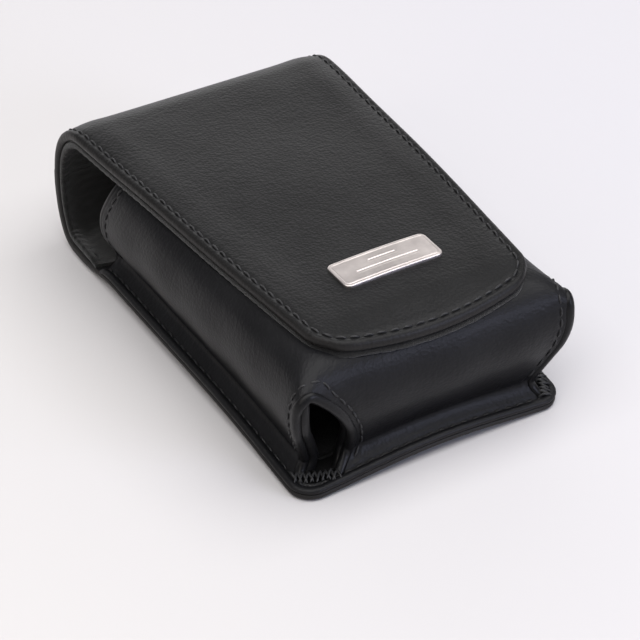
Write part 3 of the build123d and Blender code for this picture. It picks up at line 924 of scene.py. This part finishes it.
def pouch_layer(name, outer_depth, inner_depth, row_count, seams=(), mouth_back=0.0, wear=None):
    """A closed layer between two depths under the pouch's outer face, with the openings cut out."""
    rows = slice(row_count)
    outer = shell_outer[rows] - shell_normals[rows] * outer_depth
    inner = shell_outer[rows] - shell_normals[rows] * inner_depth
    if mouth_back:
        for grid in (outer, inner):
            share = np.clip((grid[..., 1] - 20) / 12, 0, 1)
            grid[..., 1] -= mouth_back * share
    if len(seams):
        outer = seam_pucker(outer, shell_normals[rows], seams)
    count, columns = outer.shape[:2]
    cut = cut_vertices[rows]
    keep = ~(cut[:-1, :-1] | cut[1:, :-1] | cut[:-1, 1:] | cut[1:, 1:])
    total = count * columns
    faces = []
    edges = {}
    for i, j in zip(*np.where(keep)):
        a = i * columns + j
        quad = (a, a + 1, a + columns + 1, a + columns)
        faces.append(quad)
        faces.append(tuple(v + total for v in quad[::-1]))
        for p, q in zip(quad, quad[1:] + quad[:1]):
            if (q, p) in edges:
                del edges[(q, p)]
            else:
                edges[(p, q)] = True
    # The first row is the front face's middle line, where the two halves meet and merge.
    faces += [(q, p, p + total, q + total) for p, q in edges if max(p, q) >= columns]
    used = sorted({v for f in faces for v in f})
    index = {v: n for n, v in enumerate(used)}
    points = np.vstack([outer.reshape(-1, 3), inner.reshape(-1, 3)])[used]
    uv = np.vstack([shell_uv[rows].reshape(-1, 2)] * 2)[used]
    worn = None if wear is None else np.concatenate([wear[rows].ravel()] * 2)[used]
    faces = [tuple(index[v] for v in f) for f in faces]
    return finish_mesh(name, settle(points), faces, uv, worn)


foot_seam = shell_outer[foot_row]

# The mouth's seam runs a little back from the edge, up one wall, over the front face and down the other.
mouth_columns = 40
lining_end = shell_rows - len(wall_rim) - len(wall_foot) + 3


def mouth_line(setback):
    """Points and normals set back from the mouth's edge, from the left wall over the front to the right."""
    upwards = np.concatenate([shell_outer, shell_normals], axis=2)[lining_end::-1]
    found = []
    for order in (1, -1):
        rows = upwards[:, ::order][:, :mouth_columns]
        found += [sampled(setback, run_along(row[:, :3]), row) for row in rows][::order]
    path, normals = np.split(np.array(found), 2, axis=1)
    fine = resample(path, 0.4)
    run = run_along(path)
    at = np.linspace(0, run[-1], len(fine))
    return averaged(fine, 4), unit(averaged(sampled(at, run, normals), 8))


mouth_seam_points, mouth_seam_normals = mouth_line(mouth_seam)
keyhole_seams = {
    side: on_shell(grown(outline, rim_stitch_offset)[7:-7], side) for side, outline in keyholes.items()
}

shell_edge = np.minimum(shell_down[-1] - shell_down[:, None], np.full((1, shell_columns), 20.0))
shell_wear = edge_wear(shell_edge, 0.5)
pouch_seams = [foot_seam, mouth_seam_points] + [points for points, _ in keyhole_seams.values()]
pouch = pouch_layer("pouch_leather", 0.0, shell_thickness, shell_rows, pouch_seams, wear=shell_wear)
add_piece(
    pouch, wall_leather_look, "smooth_leather", "pouch",
    "pouch_shell", "pouch_padding", "front_board", "keeper_disc",
)

suede_face, suede_back = (shell_thickness + depth for depth in suede_depths)
pouch_suede = pouch_layer("pouch_suede_lining", suede_face, suede_back, lining_end, mouth_back=0.8)
add_piece(pouch_suede, suede_look, "suede", "pouch", "pouch_lining")


def add_rim(name, rolls, node):
    """One rolled leather rim on the pouch, made of swept bars."""
    points, faces, uv = joined(rolls)
    rim = finish_mesh(name, settle(points), faces, uv)
    add_piece(rim, rim_leather_look, "rim_leather", "pouch", node)


# The mouth's turned edge: a rolled strip round the end of the walls and the front face.
mouth_edge, mouth_edge_normals = mouth_line(0.25)
mouth_edge = mouth_edge - mouth_edge_normals * 1.05
mouth_roll = swept_tube(mouth_edge, mouth_edge_normals, 1.0, 1.2, squareness=2.5)
add_rim("mouth_turned_edge", [mouth_roll], "mouth_facing")

for side, word in SIDES:
    outline = keyholes[side]
    rolls = []
    for shift, depth, across, through in ((0.0, 0.5, rim_across, rim_through), (-0.45, 2.6, 1.1, 1.3)):
        centre, normals = on_shell(grown(outline, shift) if shift else outline, side)
        rolls.append(swept_tube(centre - normals * depth, normals, across, through, squareness=2.3))
    add_rim(f"keyhole_rim_{word}", rolls, f"keyhole_binding_{word}")
    sew(f"keyhole_stitches_{word}", [keyhole_seams[side]], "pouch", f"keyhole_thread_{word}")

foot_line = resample(foot_seam, 0.4)
foot_normals = np.tile((0.0, 0.0, 1.0), (len(foot_line), 1))
sew("flange_stitches", [(foot_line, foot_normals)], "pouch", "flange_thread")
sew("mouth_stitches", [(mouth_seam_points, mouth_seam_normals)], "pouch", "mouth_thread")


# ------------------------ bar tacks at the corner openings' feet
tack_feet = {-1: ((-34.6, -54.4), (-26.4, -58.3)), 1: ((32.2, -58.3), (34.6, -53.5))}
tack_length = 4.1


def bar_tack(side, seed):
    """Zigzag stitches across the line between the rim's two feet, which tie the opening to the flange."""
    random = np.random.default_rng(seed)
    first, last = np.array(tack_feet[side])
    along = unit(last - first)
    first, last = first - along * 0.9, last + along * 0.9
    count = int(np.linalg.norm(last - first) / 0.62)
    across = np.array([-along[1], along[0]])
    rows = []
    for n in range(count):
        middle = first + (last - first) * (n + 0.5) / count + across * random.uniform(-0.35, 0.35)
        lean = (0.35 if n % 2 else -0.35) + random.uniform(-0.12, 0.12)
        direction = across * math.cos(lean) + along * math.sin(lean)
        half = tack_length / 2 + 0.02
        ends = np.array([[*(middle + direction * h), 6.1 + random.uniform(-0.1, 0.2)] for h in (-half, half)])
        row = resample(ends, 0.4)
        row[:, 2] += 0.15 * np.sin(np.linspace(0, math.pi, len(row)))
        rows.append((row, np.tile((0.0, 0.0, 1.0), (len(row), 1))))
    return rows


for side, word in SIDES:
    look = dict(radius=0.33, lift=0.12, pitch=tack_length)
    sew(f"bar_tack_stitches_{word}", bar_tack(side, 11 + side), "pouch", f"bar_tack_{word}", **look)


# ------------------------ label plate
def make_label_plate():
    """A satin plate with a rolled edge, a fine border line and two plain engraved rules."""
    length = (plate_high.x - plate_low.x) / MM
    width = (plate_high.y - plate_low.y) / MM
    centre_y = (plate_high.y + plate_low.y) / 2 / MM
    fine = (0, 0.05, 0.13, 0.24, 0.4, 0.6, 0.75, 0.85, 0.95, 1.1, 1.3)
    x, run, edge = flat_grid(
        lambda v: length / 2 + 0 * v, width, 1.6, row_step=0.14, inner_columns=170, both_ends=True, steps=fine
    )
    y = centre_y - width / 2 + run
    top = flap_top + 0.62 - 0.5 * rolled(edge, 0.4) - 0.0012 * x**2
    border = 0.07 * hump(edge - 0.85, 0.09)
    groove = np.zeros_like(x)
    for rule_y, rule_half in ((1.35, 3.6), (-1.15, 8.2)):
        away_x = np.maximum(np.abs(x) - rule_half, 0)
        away_y = np.maximum(np.abs(y - centre_y - rule_y) - 0.32, 0)
        groove = np.maximum(groove, 1 - smoothstep(np.hypot(away_x, away_y) / 0.14))
    top = top - border - 0.13 * groove
    tip_run = y - flap_tip_y
    sway = flap_waves(x, tip_run)
    outer = np.stack([x, y, top + sway], axis=2)
    inner = np.stack([x, y, flap_top - 0.35 + sway], axis=2)
    return closed_sheet("label_plate_face", outer, inner, np.stack([x, y], axis=2))


add_piece(make_label_plate(), plate_look, "label_metal", "flap", "label_plate")


# ------------------------ belt loop under the back
def make_belt_loop():
    """The strap that a belt passes through, sewn at both ends, with its flat stretch on the table."""
    thick = 1.4
    half = (loop_high.x - loop_low.x) / 2 / MM
    reach = loop_high.y / MM
    sewn_z = panel_z - thick
    far_half = [(reach - 20, 0.0), (reach - 12.5, 0.05), (reach - 7.5, sewn_z), (reach, sewn_z)]
    under = smooth_curve([(-y, z) for y, z in far_half[::-1]] + far_half, 0.3)
    run_of = run_along(under)
    tangent = averaged(unit(np.gradient(under, axis=0)), 6)
    x, run, edge = flat_grid(lambda v: half + 0 * v, run_of[-1], 1.5, both_ends=True, inner_columns=20)

    def place(x, run, height):
        return beside_path(under, tangent, run_of, run, x, -height)

    seams = []
    for end in (1, -1):
        for inset in (1.6, 6.2):
            at = inset if end > 0 else run_of[-1] - inset
            seams.append(seam_on(place, [(-half + 1.6, at), (half - 1.6, at)]))
    radius = thick / 2
    outer = place(x, run, -rolled(edge, radius))
    normals = outward(place, x, run)
    outer = seam_pucker(outer, normals, [points for points, _ in seams], depth=0.15)
    inner = place(x, run, -thick + rolled(edge, radius))
    wear = edge_wear(edge, 0.5)
    return closed_sheet("belt_loop_strap", outer, inner, np.stack([run, x], axis=2), wear), seams


loop, loop_seams = make_belt_loop()
add_piece(loop, back_leather_look, "smooth_leather", "pouch", "belt_loop")
sew("belt_loop_stitches", loop_seams, "pouch", "belt_loop_thread", settled=False)


# ------------------------ floor, lights and camera
def floor_painted_light_material():
    """Pale paper-like floor with painted light: painted warm, slightly brighter light on the left and painted
    cool light on the right.
    """
    material, tree, shader = node_material("pale_floor_painted_light", Roughness=0.85, Specular_IOR_Level=0.2)
    place = tree.nodes.new("ShaderNodeNewGeometry")
    split = tree.nodes.new("ShaderNodeSeparateXYZ")
    tree.links.new(place.outputs["Position"], split.inputs["Vector"])
    # Painted light: the floor's colour runs from painted warm light on the left to painted cool light on the
    # right.
    painted_light_across = mapped(tree, split.outputs["X"], (-0.12, 0.12))
    colours = ramp(tree, painted_light_across, ((0.0, (0.60, 0.585, 0.575)), (1.0, (0.565, 0.555, 0.575))))
    tree.links.new(colours, shader.inputs["Base Color"])
    return material


floor_size = 3000.0
corners = np.array([(-1, -1, 0), (1, -1, 0), (1, 1, 0), (-1, 1, 0)]) * (floor_size / 2, floor_size / 2, 0)
floor = finish_mesh("floor", corners - (0, 0, 0.02), [(0, 1, 2, 3)], corners[:, :2])
floor.data.materials.append(floor_painted_light_material())


def area_light(name, place, target, size, watts, colour):
    """A rectangular soft light that points at a target; place and (width, height) in millimetres."""
    data = bpy.data.lights.new(name, "AREA")
    data.shape = "RECTANGLE"
    data.size, data.size_y = (side * MM for side in size)
    data.energy = watts
    data.color = colour
    light = bpy.data.objects.new(name, data)
    light.location = Vector(place) * MM
    light.rotation_euler = (Vector(target) - Vector(place)).to_track_quat("-Z", "Y").to_euler()
    bpy.context.scene.collection.objects.link(light)


area_light("ceiling", (40, -230, 1050), (40, -230, 0), (1900, 1200), 22.5, (1.0, 0.99, 0.995))
area_light("back_panel", (250, 640, 235), (20, 30, 20), (900, 440), 1.9, (1.0, 0.985, 0.985))
area_light("front_right_softbox", (500, -900, 380), (0, 0, 20), (450, 350), 4.0, (0.72, 0.76, 1.0))
area_light("left_fill", (-900, -300, 600), (0, 0, 20), (450, 450), 1.6, (1.0, 0.90, 0.82))


def studio_world():
    """A dim room: brightest at the horizon and below it, darkest halfway up, a little paler overhead."""
    world = bpy.data.worlds.new("studio")
    bpy.context.scene.world = world
    world.use_nodes = True
    tree = world.node_tree
    source = tree.nodes.new("ShaderNodeTexCoord")
    split = tree.nodes.new("ShaderNodeSeparateXYZ")
    tree.links.new(source.outputs["Generated"], split.inputs["Vector"])
    stops = (
        (0.0, (0.30, 0.30, 0.32)), (0.25, (0.22, 0.22, 0.235)), (0.5, (0.17, 0.17, 0.18)),
        (1.0, (0.2, 0.2, 0.205)),
    )
    tree.links.new(ramp(tree, split.outputs["Z"], stops), tree.nodes["Background"].inputs["Color"])


studio_world()
bpy.context.scene.view_settings.view_transform = "Standard"

# Camera: about 0.6 m away, from the left of the flap's tip and 37 degrees up.
camera_azimuth, camera_elevation, camera_roll = -31.70, 37.14, 0.64
camera_distance, camera_lens = 600.11, 135.4
camera_target = (3.38, -2.65, 0.0)
azimuth, elevation, roll = (math.radians(a) for a in (camera_azimuth, camera_elevation, camera_roll))
flat_part = math.cos(elevation)
back = Vector((math.sin(azimuth) * flat_part, -math.cos(azimuth) * flat_part, math.sin(elevation)))
level = (-back).cross(Vector((0, 0, 1))).normalized()
raised = level.cross(-back)
right = level * math.cos(roll) + raised * math.sin(roll)
up = raised * math.cos(roll) - level * math.sin(roll)
camera_data = bpy.data.cameras.new("camera")
camera_data.lens = camera_lens
camera_data.sensor_width = 36
camera = bpy.data.objects.new("camera", camera_data)
place = (Vector(camera_target) + back * camera_distance) * MM
camera.matrix_world = Matrix.Translation(place) @ Matrix((right, up, back)).transposed().to_4x4()
bpy.context.scene.collection.objects.link(camera)
bpy.context.scene.camera = camera
